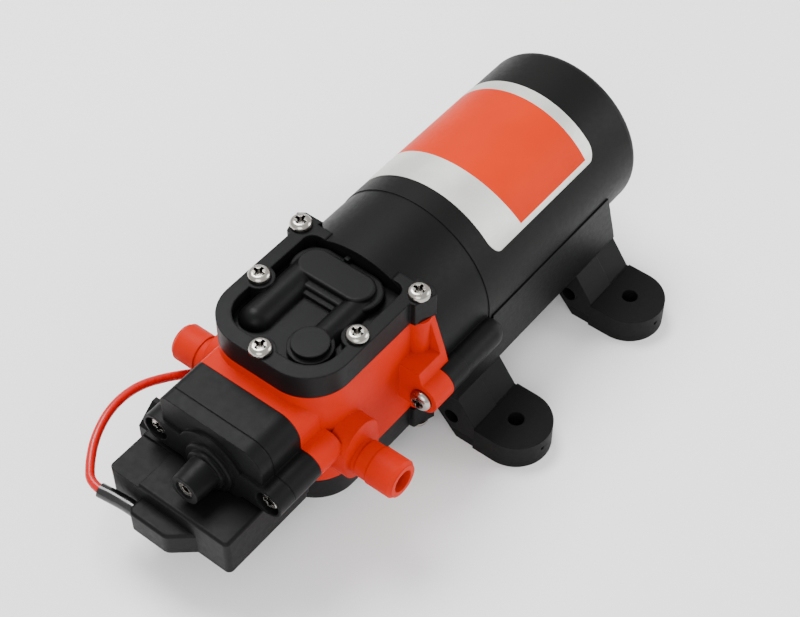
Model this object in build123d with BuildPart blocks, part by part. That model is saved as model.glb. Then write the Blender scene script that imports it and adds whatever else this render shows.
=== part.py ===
from build123d import *

import os
from math import cos, pi, radians, sin, sqrt, tan

# A 12 volt diaphragm water pump for a caravan: motor, drive housing, valve head, pressure switch and
# rubber-footed base. Lengths are in millimetres. The origin lies on the floor, midway between the four
# foot holes. +X runs along the motor towards its rear end, +Y is the inlet side, and +Z is up.

# Clearances
face_gap = 0.05
screw_gap = 0.05
running_gap = 0.03
cut_over = 1.0

# Whole pump
axis_height = 37.0
head_drop = 1.7
hole_pitch_x = 55.0
hole_pitch_y = 77.0
drive_face_x = -42.0

# Motor sleeve, can and label
motor_radius = 25.0
sleeve_length = 69.7
sleeve_wall = 1.7
sleeve_end_wall = 1.8
sleeve_edge = 3.0
can_wall = 1.2
can_lap = 8.0
label_setback = 6.6
label_length = 46.0
label_thickness = 0.15
label_half_angle = 58.0

# Drive housing
bell_length = 19.1
bell_front_radius = 24.8
bell_front_wall = 4.0
bell_room_wall = 3.0
brow_reach = 3.0
lug_y = 26.2
lug_drop = 4.5
lug_radius = 4.5
boss_radius = 4.3
boss_collar = 3.2
boss_collar_lead = 3.4
boss_over = 1.4
lead_boss_y = 25.0
lead_boss_drop = 13.0
lead_boss_radius = 3.0
lead_boss_length = 4.2

# Valve head
head_half_width = 18.9
head_half_height = 16.85
cover_length = 41.8
cover_corner = 12.0
flange_reach = 3.1
cover_thickness = 7.45
chamber_setback = 21.0
cavity_radius = 9.8
pocket_radius = 12.6
pocket_depth = 6.0
shaft_way_radius = 7.0
riser_radius = 2.2
riser_setback = 33.0
riser_y = 10.5

# Cover screws, measured back from the drive face
screw_radius = 1.5
screw_head_radius = 2.95
screw_head_height = 1.9
screw_length = 16.0
rear_screw_setback = 2.6
rear_screw_y = 18.7
mid_screw_setback = 22.2
mid_screw_y = 15.4
front_screw_setback = 39.4
tower_radius = 3.9
wing_points = [(6.6, 17.5), (6.2, 20.3), (0.0, 22.2), (-1.4, 20.4), (-1.4, 15.0)]
column_radius = 3.3

# Top of a cover
rim_depth = 4.2
recess_half_width = 15.2
recess_front_setback = 37.6
recess_rear_setback = 2.9
recess_front_corner = 8.0
recess_rear_corner = 3.0
key_setback = 3.1
key_y = 2.6
key_size = 1.4
key_height = 3.7
track_setback = 9.9
track_y = 1.2
track_half_length = 13.2
track_half_width = 6.6
track_step = 2.0
track_drop = 1.7
track_top_drop = 0.1
track_edge = 0.6
track_ledge_setback = 17.85
track_ledge_left_y = 5.8
track_ledge_right_y = -4.8
track_ledge_height = 1.3
inlet_way_y = 9.5
inlet_way_radius = 4.5
inlet_way_setback = 30.3
outlet_way_y = -7.4
outlet_way_radius = 4.0
outlet_button_radius = 4.8
outlet_button_drop = 0.5
outlet_base_radius = 5.8
outlet_base_drop = 1.9
outlet_button_setback = 30.0
way_drop = 0.5
way_wall = 2.4
valve_pocket_radius = 4.0
valve_pocket_depth = 1.6

# Ports
port_setback = 31.2
port_drop = 8.55
port_tip_y = 36.2
port_bore_radius = 3.1
barb_radius = 5.3
barb_neck_radius = 4.6
barb_ring_radius = 5.0
barb_tip_length = 7.9
barb_ring_length = 3.6
barb_edge = 1.0
elbow_y = 23.4
elbow_radius = 6.6
elbow_height = 11.5

# Ear of the head that takes the long screw of the drive housing
ear_length = 10.8
ear_shelf_rise = 4.0
ear_shelf_y = 25.1
ear_foot_drop = 9.0
gusset_thickness = 2.0
gusset_top_y = 21.4
lug_screw_radius = 1.75
lug_screw_length = 24.0
lug_head_radius = 3.1

# Diaphragms, valves and yoke
diaphragm_thickness = 1.4
pump_room_radius = 9.0
pump_room_depth = 3.45
piston_radius = 7.5
piston_thickness = 1.2
piston_screw_radius = 1.2
piston_screw_head = 2.2
piston_screw_head_height = 0.9
piston_screw_length = 4.2
valve_y = 5.6
valve_radius = 3.0
valve_thickness = 0.7
valve_stem_radius = 0.8
valve_hole_radius = 0.6
valve_hole_circle = 1.8
valve_hole_count = 5
seal_inner = 10.6
seal_outer = 12.0
seal_thickness = 0.8
stroke = 0.8
yoke_thickness = 4.0
yoke_half_width = 8.6
yoke_hole_radius = 6.9
yoke_pad_radius = 5.0
yoke_pad_thickness = 1.2

# Shaft, eccentric and its ball bearing
shaft_radius = 2.5
shaft_tip_radius = 1.6
shaft_tip_reach = 22.4
bearing_width = 3.0
bearing_bore = 3.0
bearing_outer = 5.0
bearing_land = 0.55
ball_radius = 0.65
ball_count = 9
ball_gap = 0.02
pin_shoulder = 0.9
weight_thickness = 3.0
weight_radius = 6.2
hub_radius = 4.4
hub_length = 5.2
set_screw_radius = 1.0

# Motor inside
magnet_thickness = 4.2
magnet_length = 40.0
magnet_half_angle = 58.0
magnet_start = 9.0
armature_radius = 16.9
armature_length = 30.0
armature_lead = 5.0
pole_count = 7
tooth_width = 4.2
pole_shoe = 2.6
slot_opening = 2.0
core_hub_radius = 6.2
winding_over = 3.5
winding_inner = 7.2
winding_outer = 13.6
commutator_radius = 5.5
commutator_bore = 3.6
commutator_length = 8.0
commutator_slit = 0.5
commutator_gap = 9.0
brush_size = 4.0
brush_length = 6.0
brush_travel = 2.0
holder_wall = 1.0
holder_length = 9.5
brush_plate_thickness = 2.5
brush_plate_gap = 1.5
bush_radius = 4.5
bush_length = 6.0
hub_wall = 1.5
end_plate_thickness = 2.0

# Base and feet
base_half_width = 26.0
base_rail_drop = 21.0
base_rail_top_drop = 2.2
base_rail_top_y = 25.35
base_rail_rake = 5.2
base_rail_in_y = 12.0
base_length = 74.7
base_front_setback = 4.45
leg_length = 19.0
leg_out_y = 31.8
leg_in_y = 19.7
leg_in_height = 7.0
leg_step_depth = 0.5
leg_step_length = 9.0
leg_foot_in_y = 23.3
foot_thickness = 8.0
foot_sole = 3.0
foot_in_y = 26.0
foot_radius = 10.0
foot_hole_radius = 2.25
foot_mark_radius = 0.6
foot_mark_height = 4.8
foot_mark_offset = 1.5
tongue_width = 12.0
tongue_reach = 3.0
tongue_thickness = 2.2
strap_thickness = 1.8
strap_half_width = 13.5
leg_hole_radius = 2.2
leg_hole_depth = 5.0
leg_hole_y = 24.2
leg_hole_height = 7.4

# Pressure switch
switch_half_width = 16.0
switch_top_rise = 13.7
switch_corner = 6.0
switch_left_corner = 2.0
switch_seam = 0.15
switch_body_length = 9.8
switch_cap_length = 5.1
cap_plate_step = 1.1
flange_root = 2.0
switch_lobe_radius = 10.5
ear_y = 17.9
ear_radius = 4.3
switch_ring_radius = 7.3
switch_ring_length = 1.1
switch_ring_edge = 0.5
switch_step_radius = 5.7
switch_step_length = 2.2
adjuster_boss_radius = 4.15
adjuster_boss_root = 4.85
adjuster_boss_length = 9.3
switch_diaphragm_radius = 9.3
switch_diaphragm_thickness = 1.2
plunger_radius = 6.2
plunger_thickness = 1.45
plunger_travel = 1.0
plunger_stem_radius = 1.5
plunger_stem_length = 1.6
arm_half_width = 1.9
arm_drop = 14.5
spring_radius = 2.7
spring_wall = 0.5
spring_bore_radius = 2.95
seat_thickness = 1.5
seat_stem_length = 1.0
seat_setback = 4.6
adjuster_radius = 2.3
adjuster_recess = 0.5
adjuster_mouth_radius = 2.65
hex_across = 2.0
hex_depth = 1.8
switch_screw_radius = 1.6
switch_head_radius = 3.0
switch_head_height = 1.8
switch_sink = 2.5
sink_radius = 3.5
switch_screw_length = 19.0

# Micro switch and its box
box_drop = 6.3
box_height = 12.0
box_front_x = -114.0
box_rear_x = -89.4
box_right_y = -15.3
box_left_y = 23.4
box_wall = 1.6
box_edge = 1.5
box_top_edge = 0.9
box_step_y = 13.4
box_step_drop = 0.9
box_ledge_length = 4.9
box_ledge_gap = 0.3
lid_thickness = 1.5
bump_front_x = -118.9
bump_drop = 5.0
bump_left_y = 13.4
bump_right_y = 0.8
bump_root_y = -5.0
bump_corner = 1.2
bump_round = 1.4
bump_right_round = 3.2
side_lug_reach = 3.3
side_lug_length = 7.0
side_lug_setback = 3.6
side_lug_rise = 3.0
side_lug_gap = 0.2
micro_length = 19.8
micro_width = 6.4
micro_depth = 10.2
micro_y = 5.0
micro_hole_radius = 1.5
micro_hole_pitch = 9.5
micro_hole_inset = 2.9
button_radius = 1.1
button_inset = 2.0
button_gap = 0.1
button_over_travel = 0.5
blade_width = 3.2
blade_thickness = 0.6
blade_length = 4.6
blade_y = 3.7
blade_pitch = 5.8

# Red lead from the micro switch to the drive housing
lead_radius = 1.25
lead_sleeve_radius = 1.95
grommet_radius = 2.2
grommet_collar = 2.6
grommet_collar_length = 1.2
lead_entry = 3.5
lead_wall_inset = 2.7
lead_start_drop = 8.1

# Shares
head_round_share = 0.75
cross_length_share = 1.1
cross_width_share = 0.3
cross_core_share = 0.3
cross_depth_share = 1.3
bend_share = 0.45
lead_sleeve_share = 0.72

# Places worked out from the sizes above
head_mid = axis_height - head_drop
body_top = head_mid + head_half_height
body_bottom = head_mid - head_half_height
cover_top = body_top + cover_thickness
recess_floor = cover_top - rim_depth
cover_front_x = drive_face_x - cover_length
flange_x = cover_front_x - flange_reach
chamber_x = drive_face_x - chamber_setback
bell_rear_x = drive_face_x + bell_length
sleeve_rear_x = bell_rear_x + sleeve_length
sleeve_inner = motor_radius - sleeve_wall
can_radius = sleeve_inner - face_gap
can_inner = can_radius - can_wall
can_front_x = bell_rear_x - can_lap
can_rear_x = sleeve_rear_x - sleeve_end_wall - face_gap
lug_z = axis_height - lug_drop
lead_boss_z = axis_height - lead_boss_drop
port_x = drive_face_x - port_setback
port_z = axis_height - port_drop
riser_x = drive_face_x - riser_setback
rear_screw_x = drive_face_x - rear_screw_setback
mid_screw_x = drive_face_x - mid_screw_setback
front_screw_x = drive_face_x - front_screw_setback
cover_screws = [
    (rear_screw_x, rear_screw_y),
    (mid_screw_x, mid_screw_y),
    (front_screw_x, 0),
    (mid_screw_x, -mid_screw_y),
    (rear_screw_x, -rear_screw_y),
]
head_mirror = Plane.XY.offset(head_mid)
brow_front_x = drive_face_x - brow_reach
box_top = head_mid - box_drop
box_bottom = box_top - box_height
bump_top = box_top - bump_drop
arm_foot_z = head_mid - arm_drop
lead_start_z = box_top - lead_start_drop
switch_front_x = flange_x - switch_body_length
cap_front_x = switch_front_x - switch_cap_length
boss_tip_x = cap_front_x - adjuster_boss_length
diaphragm_x = switch_front_x - switch_diaphragm_thickness
plunger_back_x = diaphragm_x - face_gap
plunger_front_x = plunger_back_x - plunger_thickness
plunger_room_x = plunger_front_x - plunger_travel - 6 * face_gap
seat_x = cap_front_x - seat_setback
seat_back_x = seat_x + seat_thickness
adjuster_x = seat_x - face_gap


def rod_x(radius, start, end, y=0, z=axis_height, mode=Mode.ADD):
    """A round bar along X between two stations."""
    with BuildSketch(Plane.YZ.offset(start)) as section:
        with Locations((y, z)):
            Circle(radius)
    extrude(section.sketch, amount=end - start, mode=mode)


def post_z(radius, low, high, x, y, mode=Mode.ADD):
    """A round bar along Z between two heights."""
    with BuildSketch(Plane.XY.offset(low)) as section:
        with Locations((x, y)):
            Circle(radius)
    extrude(section.sketch, amount=high - low, mode=mode)


def rod_y(radius, start, end, x, z, mode=Mode.ADD):
    """A round bar along Y between two stations."""
    with BuildSketch(Plane.XZ.offset(-start)) as section:
        with Locations((x, z)):
            Circle(radius)
    extrude(section.sketch, amount=start - end, mode=mode)


def block(low, high, mode=Mode.ADD):
    """A box between two opposite corners."""
    size = [b - a for a, b in zip(low, high)]
    middle = [(a + b) / 2 for a, b in zip(low, high)]
    with Locations(tuple(middle)):
        Box(*size, mode=mode)


def prism_x(points, start, end, mode=Mode.ADD):
    """A closed outline of (y, z) points, carried along X."""
    with BuildSketch(Plane.YZ.offset(start)) as section:
        with BuildLine():
            Polyline(*points, close=True)
        make_face()
    extrude(section.sketch, amount=end - start, mode=mode)


def prism_y(points, start, end, mode=Mode.ADD):
    """A closed outline of (x, z) points, carried along Y."""
    with BuildSketch(Plane.XZ.offset(-start)) as section:
        with BuildLine():
            Polyline(*points, close=True)
        make_face()
    extrude(section.sketch, amount=start - end, mode=mode)


def prism_z(points, low, high, mode=Mode.ADD):
    """A closed outline of (x, y) points, carried up Z."""
    with BuildSketch(Plane.XY.offset(low)) as section:
        with BuildLine():
            Polyline(*points, close=True)
        make_face()
    extrude(section.sketch, amount=high - low, mode=mode)


def head_outline(height, amount, mode=Mode.ADD):
    """The plan shape shared by the head and its covers, with its two round front corners."""
    with BuildSketch(Plane.XY.offset(height)) as plan:
        with BuildLine():
            FilletPolyline(
                (drive_face_x, head_half_width),
                (cover_front_x, head_half_width),
                (cover_front_x, -head_half_width),
                (drive_face_x, -head_half_width),
                radius=cover_corner,
            )
            Line((drive_face_x, -head_half_width), (drive_face_x, head_half_width))
        make_face()
    extrude(plan.sketch, amount=amount, mode=mode)


def clear_bell():
    """Room for the drive housing behind the drive face."""
    behind = drive_face_x + tower_radius + cut_over
    rod_x(bell_front_radius + face_gap, drive_face_x, behind, mode=Mode.SUBTRACT)


def switch_outline(start, length, low, inset=0):
    """The pressure switch's section with its ears, cut off flat below, as one extrusion along -X."""
    half_width = switch_half_width - inset
    top = head_mid + switch_top_rise - inset
    with BuildSketch(Plane.YZ.offset(start)) as section:
        with Locations((0, (top + low) / 2)):
            Rectangle(2 * half_width, top - low)
        fillet(section.vertices().group_by(Axis.Y)[-1].sort_by(Axis.X)[0], switch_corner)
        fillet(section.vertices().group_by(Axis.Y)[-1].sort_by(Axis.X)[-1], switch_left_corner)
        with Locations((0, head_mid)):
            SlotOverall(2 * (ear_y + ear_radius - inset), 2 * (ear_radius - inset))
    extrude(section.sketch, amount=-length)


def switch_ears(start, length):
    """The bar that joins the two ears of the pressure switch, as one extrusion along -X."""
    with BuildSketch(Plane.YZ.offset(start)) as section:
        with Locations((0, head_mid)):
            SlotOverall(2 * (ear_y + ear_radius), 2 * ear_radius)
    extrude(section.sketch, amount=-length)


def cross_screw(radius, length, head_radius, head_height):
    """A pan head screw with a cross recess: the head stands on the XY plane, the shank hangs below."""
    with BuildPart() as screw:
        Cylinder(head_radius, head_height, align=(Align.CENTER, Align.CENTER, Align.MIN))
        fillet(screw.faces().sort_by(Axis.Z)[-1].edges(), head_height * head_round_share)
        arm = head_radius * cross_length_share
        slot = head_radius * cross_width_share
        deep = head_height * cross_depth_share
        with Locations((0, 0, head_height)):
            Box(arm, slot, deep, mode=Mode.SUBTRACT)
            Box(slot, arm, deep, mode=Mode.SUBTRACT)
            Cylinder(head_radius * cross_core_share, deep, mode=Mode.SUBTRACT)
        Cylinder(radius, length, align=(Align.CENTER, Align.CENTER, Align.MAX))
    return screw.part


def keep(piece, label):
    """Name a finished piece and write its file."""
    piece.part.label = label
    export_step(piece.part, f"parts/{label}.step")


os.makedirs("parts", exist_ok=True)

# Top cover: rimmed plate with a recess that holds the moulded water ways
with BuildPart() as top_cover:
    head_outline(body_top, cover_thickness)
    for side in (1, -1):
        wing = [(drive_face_x - setback, side * reach) for setback, reach in wing_points]
        prism_z(wing, body_top, cover_top)
    clear_bell()
    recess_front_x = drive_face_x - recess_front_setback
    recess_rear_x = drive_face_x - recess_rear_setback
    with BuildSketch(Plane.XY.offset(recess_floor)) as recess:
        with Locations(((recess_front_x + recess_rear_x) / 2, 0)):
            Rectangle(recess_rear_x - recess_front_x, 2 * recess_half_width)
        corners = recess.vertices().group_by(Axis.X)
        fillet(corners[0], recess_front_corner)
        fillet(recess.vertices().group_by(Axis.X)[-1], recess_rear_corner)
        with Locations(*cover_screws[1:4]):
            Circle(tower_radius, mode=Mode.SUBTRACT)
    extrude(amount=rim_depth, mode=Mode.SUBTRACT)
    track_x = drive_face_x - track_setback
    track_ledge_x = drive_face_x - track_ledge_setback
    block(
        (track_ledge_x, track_ledge_right_y, recess_floor),
        (track_x, track_ledge_left_y, recess_floor + track_ledge_height),
    )
    for shrink, top in (0, cover_top - track_drop), (track_step, cover_top - track_top_drop):
        with BuildPart() as tier:
            with BuildSketch(Plane.XY.offset(recess_floor)):
                with Locations((track_x, track_y)):
                    SlotOverall(
                        2 * (track_half_length - shrink),
                        2 * (track_half_width - shrink),
                        rotation=90,
                    )
            extrude(amount=top - recess_floor)
            fillet(tier.faces().sort_by(Axis.Z)[-1].edges(), track_edge)
    way_z = recess_floor - way_drop
    for y, radius, setback in (
        (inlet_way_y, inlet_way_radius, inlet_way_setback),
        (outlet_way_y, outlet_way_radius, outlet_button_setback),
    ):
        rod_x(radius, drive_face_x - setback, track_x, y=y, z=way_z)
    with Locations((drive_face_x - inlet_way_setback, inlet_way_y, way_z)):
        Sphere(inlet_way_radius)
    outlet_button_x = drive_face_x - outlet_button_setback
    for radius, drop in (
        (outlet_base_radius, outlet_base_drop),
        (outlet_button_radius, outlet_button_drop),
    ):
        post_z(radius, recess_floor, cover_top - drop, outlet_button_x, outlet_way_y)
    with BuildSketch(Plane.YZ.offset(brow_front_x - face_gap)) as brow_room:
        with Locations((0, axis_height)):
            Circle(bell_front_radius + face_gap)
        with Locations((0, recess_floor - axis_height)):
            Rectangle(4 * motor_radius, 2 * axis_height, mode=Mode.SUBTRACT)
    extrude(brow_room.sketch, amount=brow_reach + 2 * face_gap, mode=Mode.SUBTRACT)
    key_x = drive_face_x - key_setback
    block(
        (key_x - key_size, key_y - key_size / 2, recess_floor),
        (key_x, key_y + key_size / 2, recess_floor + key_height),
    )
    block(
        (flange_x, -head_half_width - cut_over, body_top - cover_thickness),
        (drive_face_x + tower_radius, head_half_width + cut_over, body_top),
        mode=Mode.SUBTRACT,
    )
    for y, radius in (inlet_way_y, inlet_way_radius), (outlet_way_y, outlet_way_radius):
        rod_x(radius - way_wall, riser_x, track_x, y=y, z=way_z, mode=Mode.SUBTRACT)
    for side in (1, -1):
        post_z(
            valve_pocket_radius,
            body_top,
            body_top + valve_pocket_depth,
            chamber_x,
            side * valve_y,
            mode=Mode.SUBTRACT,
        )
        post_z(riser_radius, body_top, way_z, riser_x, side * riser_y, mode=Mode.SUBTRACT)
    for x, y in cover_screws:
        post_z(screw_radius + screw_gap, body_top, cover_top, x, y, mode=Mode.SUBTRACT)
keep(top_cover, "top_cover")

# Bottom cover: the same moulding turned over
with BuildPart() as bottom_cover:
    mirror(top_cover.part, about=head_mirror)
keep(bottom_cover, "bottom_cover")

# Cover screws, five on each side
with BuildPart() as top_cover_screws:
    for x, y in cover_screws:
        with Locations((x, y, cover_top)):
            add(cross_screw(screw_radius, screw_length, screw_head_radius, screw_head_height))
keep(top_cover_screws, "top_cover_screws")
with BuildPart() as bottom_cover_screws:
    mirror(top_cover_screws.part, about=head_mirror)
keep(bottom_cover_screws, "bottom_cover_screws")

# Pump body: the orange valve head between the covers, with its two hose barbs
with BuildPart() as pump_body:
    head_outline(body_bottom, 2 * head_half_height)
    flange_back_x = cover_front_x + flange_reach + flange_root
    switch_outline(flange_back_x, flange_back_x - flange_x, head_mid - switch_top_rise)
    shelf_z = axis_height + ear_shelf_rise
    ear_bottom = axis_height - ear_foot_drop
    for side in (1, -1):
        post_z(column_radius, body_bottom, body_top, rear_screw_x, side * rear_screw_y)
        prism_x(
            [
                (side * (head_half_width - cut_over), shelf_z - cut_over),
                (side * ear_shelf_y, shelf_z),
                (side * gusset_top_y, body_top),
                (side * (head_half_width - cut_over), body_top),
            ],
            drive_face_x - gusset_thickness,
            drive_face_x,
        )
        prism_x(
            [
                (side * (head_half_width - cut_over), ear_bottom),
                (side * (head_half_width - cut_over), shelf_z),
                (side * ear_shelf_y, shelf_z),
                (side * lug_y, lug_z + lug_radius),
                (side * lug_y, lug_z - lug_radius),
            ],
            drive_face_x - ear_length,
            drive_face_x,
        )
        rod_x(lug_radius, drive_face_x - ear_length, drive_face_x, y=side * lug_y, z=lug_z)
        with BuildSketch(Plane.XZ.offset(-side * (head_half_width - cut_over))):
            with Locations((port_x, port_z + elbow_height / 2 - elbow_radius / 2)):
                SlotOverall(elbow_height + elbow_radius, 2 * elbow_radius, rotation=90)
        extrude(amount=-side * (elbow_y - head_half_width + cut_over))
        rod_y(barb_neck_radius, side * head_half_width, side * port_tip_y, port_x, port_z)
        ring_y = port_tip_y - barb_tip_length
        rod_y(barb_ring_radius, side * (ring_y - barb_ring_length), side * ring_y, port_x, port_z)
        with BuildSketch(Plane.XZ.offset(-side * ring_y)):
            with Locations((port_x, port_z)):
                Circle(barb_radius)
        extrude(amount=-side * (barb_tip_length - barb_edge))
        with BuildSketch(Plane.XZ.offset(-side * (port_tip_y - barb_edge))):
            with Locations((port_x, port_z)):
                Circle(barb_radius)
        extrude(amount=-side * barb_edge, taper=40)
        rod_y(
            port_bore_radius, side * riser_y, side * port_tip_y, port_x, port_z, mode=Mode.SUBTRACT
        )
    clear_bell()
    block(
        (drive_face_x, -ear_shelf_y, body_bottom),
        (drive_face_x + tower_radius + cut_over, ear_shelf_y, shelf_z),
        mode=Mode.SUBTRACT,
    )
    for side in (1, -1):
        post_z(
            riser_radius, body_bottom, body_top, riser_x, side * riser_y, mode=Mode.SUBTRACT
        )
        rod_x(
            lug_screw_radius + screw_gap,
            drive_face_x - ear_length,
            drive_face_x,
            y=side * lug_y,
            z=lug_z,
            mode=Mode.SUBTRACT,
        )
        rod_x(
            lug_radius + face_gap,
            drive_face_x - boss_collar_lead,
            drive_face_x,
            y=side * lug_y,
            z=lug_z,
            mode=Mode.SUBTRACT,
        )
        rod_x(
            switch_screw_radius + screw_gap,
            flange_x,
            flange_back_x,
            y=side * ear_y,
            z=head_mid,
            mode=Mode.SUBTRACT,
        )
    post_z(cavity_radius, body_bottom, body_top, chamber_x, 0, mode=Mode.SUBTRACT)
    for low in body_bottom, body_top - pocket_depth:
        post_z(pocket_radius, low, low + pocket_depth, chamber_x, 0, mode=Mode.SUBTRACT)
    rod_x(shaft_way_radius, chamber_x, drive_face_x, mode=Mode.SUBTRACT)
    screw_reach = screw_length - cover_thickness + cut_over
    for x, y in cover_screws:
        for low in body_bottom, body_top - screw_reach:
            post_z(screw_radius + screw_gap, low, low + screw_reach, x, y, mode=Mode.SUBTRACT)
    gallery_y = -riser_y + riser_radius / 2
    rod_x(
        switch_screw_radius, flange_x, riser_x, y=gallery_y, z=head_mid, mode=Mode.SUBTRACT
    )
keep(pump_body, "pump_body")

# Long screws that hold the head on the drive housing
with BuildPart() as lug_screws:
    for side in (1, -1):
        with Locations(Plane((drive_face_x - ear_length, side * lug_y, lug_z), z_dir=(-1, 0, 0))):
            add(cross_screw(lug_screw_radius, lug_screw_length, lug_head_radius, screw_head_height))
keep(lug_screws, "lug_screws")

# Drive housing: carries the shaft bearing, the long screws and the front of the motor
with BuildPart() as front_bell:
    rod_x(bell_front_radius, brow_front_x, bell_rear_x)
    reach = bell_front_radius + cut_over
    block(
        (brow_front_x - cut_over, -reach, axis_height - reach),
        (drive_face_x, reach, recess_floor + face_gap),
        mode=Mode.SUBTRACT,
    )
    dome_x = bell_rear_x + boss_over - boss_radius
    for side in (1, -1):
        rod_x(boss_radius, drive_face_x, dome_x, y=side * lug_y, z=lug_z)
        collar_front_x = drive_face_x - boss_collar_lead + face_gap
        rod_x(lug_radius, collar_front_x, drive_face_x + boss_collar, y=side * lug_y, z=lug_z)
        with Locations((dome_x, side * lug_y, lug_z)):
            Sphere(boss_radius)
    lead_boss_end_x = drive_face_x + lead_boss_length
    rod_x(lead_boss_radius, drive_face_x, lead_boss_end_x, y=lead_boss_y, z=lead_boss_z)
    prism_x(
        [
            (lead_boss_y, lead_boss_z - lead_boss_radius),
            (lead_boss_y - 3 * lead_boss_radius, lead_boss_z - lead_boss_radius),
            (lead_boss_y - 2 * lead_boss_radius, lead_boss_z + lead_boss_radius),
            (lead_boss_y, lead_boss_z + lead_boss_radius),
        ],
        drive_face_x,
        lead_boss_end_x,
    )
    room_front_x = drive_face_x + bell_front_wall
    rod_x(
        bell_front_radius - bell_room_wall, room_front_x, bell_rear_x, mode=Mode.SUBTRACT
    )
    rod_x(can_radius + face_gap, can_front_x, bell_rear_x, mode=Mode.SUBTRACT)
    rod_x(
        motor_radius + face_gap, bell_rear_x, bell_rear_x + boss_radius, mode=Mode.SUBTRACT
    )
    bush_front_x = drive_face_x + face_gap
    bush_end_x = bush_front_x + bush_length
    rod_x(bush_radius + hub_wall, room_front_x, bush_end_x)
    rod_x(bush_radius, drive_face_x, bush_end_x, mode=Mode.SUBTRACT)
    screw_end_x = drive_face_x - ear_length + lug_screw_length + cut_over
    for side in (1, -1):
        rod_x(
            lug_screw_radius + screw_gap,
            collar_front_x,
            screw_end_x,
            y=side * lug_y,
            z=lug_z,
            mode=Mode.SUBTRACT,
        )
    grommet_end_x = drive_face_x + lead_entry + face_gap
    rod_x(
        grommet_radius,
        drive_face_x,
        grommet_end_x,
        y=lead_boss_y,
        z=lead_boss_z,
        mode=Mode.SUBTRACT,
    )
keep(front_bell, "front_bell")

# Motor sleeve: the plain black cup over the motor
with BuildPart() as motor_sleeve:
    rod_x(motor_radius, bell_rear_x, sleeve_rear_x)
    fillet(motor_sleeve.faces().sort_by(Axis.X)[-1].edges(), sleeve_edge)
    rod_x(sleeve_inner, bell_rear_x, sleeve_rear_x - sleeve_end_wall, mode=Mode.SUBTRACT)
keep(motor_sleeve, "motor_sleeve")

# Label: a thin curved sheet with round corners, laid over the top of the sleeve
with BuildPart() as motor_label:
    label_front_x = bell_rear_x + label_setback
    label_rear_x = label_front_x + label_length
    label_half_width = motor_radius * sin(radians(label_half_angle))
    with BuildSketch(Plane.XY.offset(axis_height)):
        with Locations(((label_front_x + label_rear_x) / 2, 0)):
            RectangleRounded(label_length, 2 * label_half_width, sleeve_edge)
    extrude(amount=2 * motor_radius)
    with BuildSketch(Plane.YZ.offset(label_front_x)) as band:
        with Locations((0, axis_height)):
            Circle(motor_radius + label_thickness)
            Circle(motor_radius, mode=Mode.SUBTRACT)
    extrude(band.sketch, amount=label_length, mode=Mode.INTERSECT)
keep(motor_label, "motor_label")

# Steel can with its closed rear end and bearing cup
rear_bush_x = can_rear_x - can_wall - bush_length
with BuildPart() as motor_can:
    rod_x(can_radius, can_front_x, can_rear_x)
    rod_x(can_inner, can_front_x, can_rear_x - can_wall, mode=Mode.SUBTRACT)
    rod_x(bush_radius + hub_wall, rear_bush_x, can_rear_x - can_wall)
    rod_x(bush_radius, rear_bush_x, can_rear_x - can_wall, mode=Mode.SUBTRACT)
keep(motor_can, "motor_can")

# End plate that closes the front of the can
with BuildPart() as motor_end_plate:
    rod_x(can_inner - face_gap, can_front_x, can_front_x + end_plate_thickness)
    rod_x(
        bush_radius + hub_wall,
        can_front_x,
        can_front_x + end_plate_thickness,
        mode=Mode.SUBTRACT,
    )
keep(motor_end_plate, "motor_end_plate")

# Two arc magnets held against the can
magnet_x = can_front_x + magnet_start
with BuildPart() as magnets:
    with BuildSketch(Plane.YZ.offset(magnet_x)):
        with Locations((0, axis_height)):
            Circle(can_inner)
            Circle(can_inner - magnet_thickness, mode=Mode.SUBTRACT)
    extrude(amount=magnet_length)
    gap_half_angle = radians(90 - magnet_half_angle)
    for side in (1, -1):
        prism_x(
            [
                (0, axis_height),
                (side * 2 * can_radius, axis_height + 2 * can_radius * tan(gap_half_angle)),
                (side * 2 * can_radius, axis_height - 2 * can_radius * tan(gap_half_angle)),
            ],
            magnet_x,
            magnet_x + magnet_length,
            mode=Mode.SUBTRACT,
        )
keep(magnets, "magnets")

# Rotor: seven-pole core, windings, commutator and shaft
core_x = magnet_x + armature_lead
core_end_x = core_x + armature_length
pole_step = 360 / pole_count
with BuildPart() as armature_core:
    with BuildSketch(Plane.YZ.offset(core_x)):
        with Locations((0, axis_height)):
            Circle(armature_radius)
            Circle(armature_radius - pole_shoe, mode=Mode.SUBTRACT)
            Circle(core_hub_radius)
        for pole in range(pole_count):
            with Locations(Location((0, axis_height), pole * pole_step)):
                with Locations((armature_radius / 2, 0)):
                    Rectangle(armature_radius - pole_shoe, tooth_width)
        for pole in range(pole_count):
            with Locations(Location((0, axis_height), (pole + 1 / 2) * pole_step)):
                with Locations((armature_radius, 0)):
                    Rectangle(2 * pole_shoe + slot_opening, slot_opening, mode=Mode.SUBTRACT)
        with Locations((0, axis_height)):
            Circle(shaft_radius, mode=Mode.SUBTRACT)
    extrude(amount=armature_length)
keep(armature_core, "armature_core")

with BuildPart() as windings:
    with BuildSketch(Plane.YZ.offset(core_x - winding_over)):
        with Locations((0, axis_height)):
            Circle(winding_outer)
            Circle(winding_inner, mode=Mode.SUBTRACT)
    extrude(amount=armature_length + 2 * winding_over)
    with BuildSketch(Plane.YZ.offset(core_x - face_gap)):
        for pole in range(pole_count):
            with Locations(Location((0, axis_height), pole * pole_step)):
                with Locations((armature_radius / 2, 0)):
                    Rectangle(armature_radius, tooth_width + 2 * face_gap)
    extrude(amount=armature_length + 2 * face_gap, mode=Mode.SUBTRACT)
keep(windings, "windings")

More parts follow.
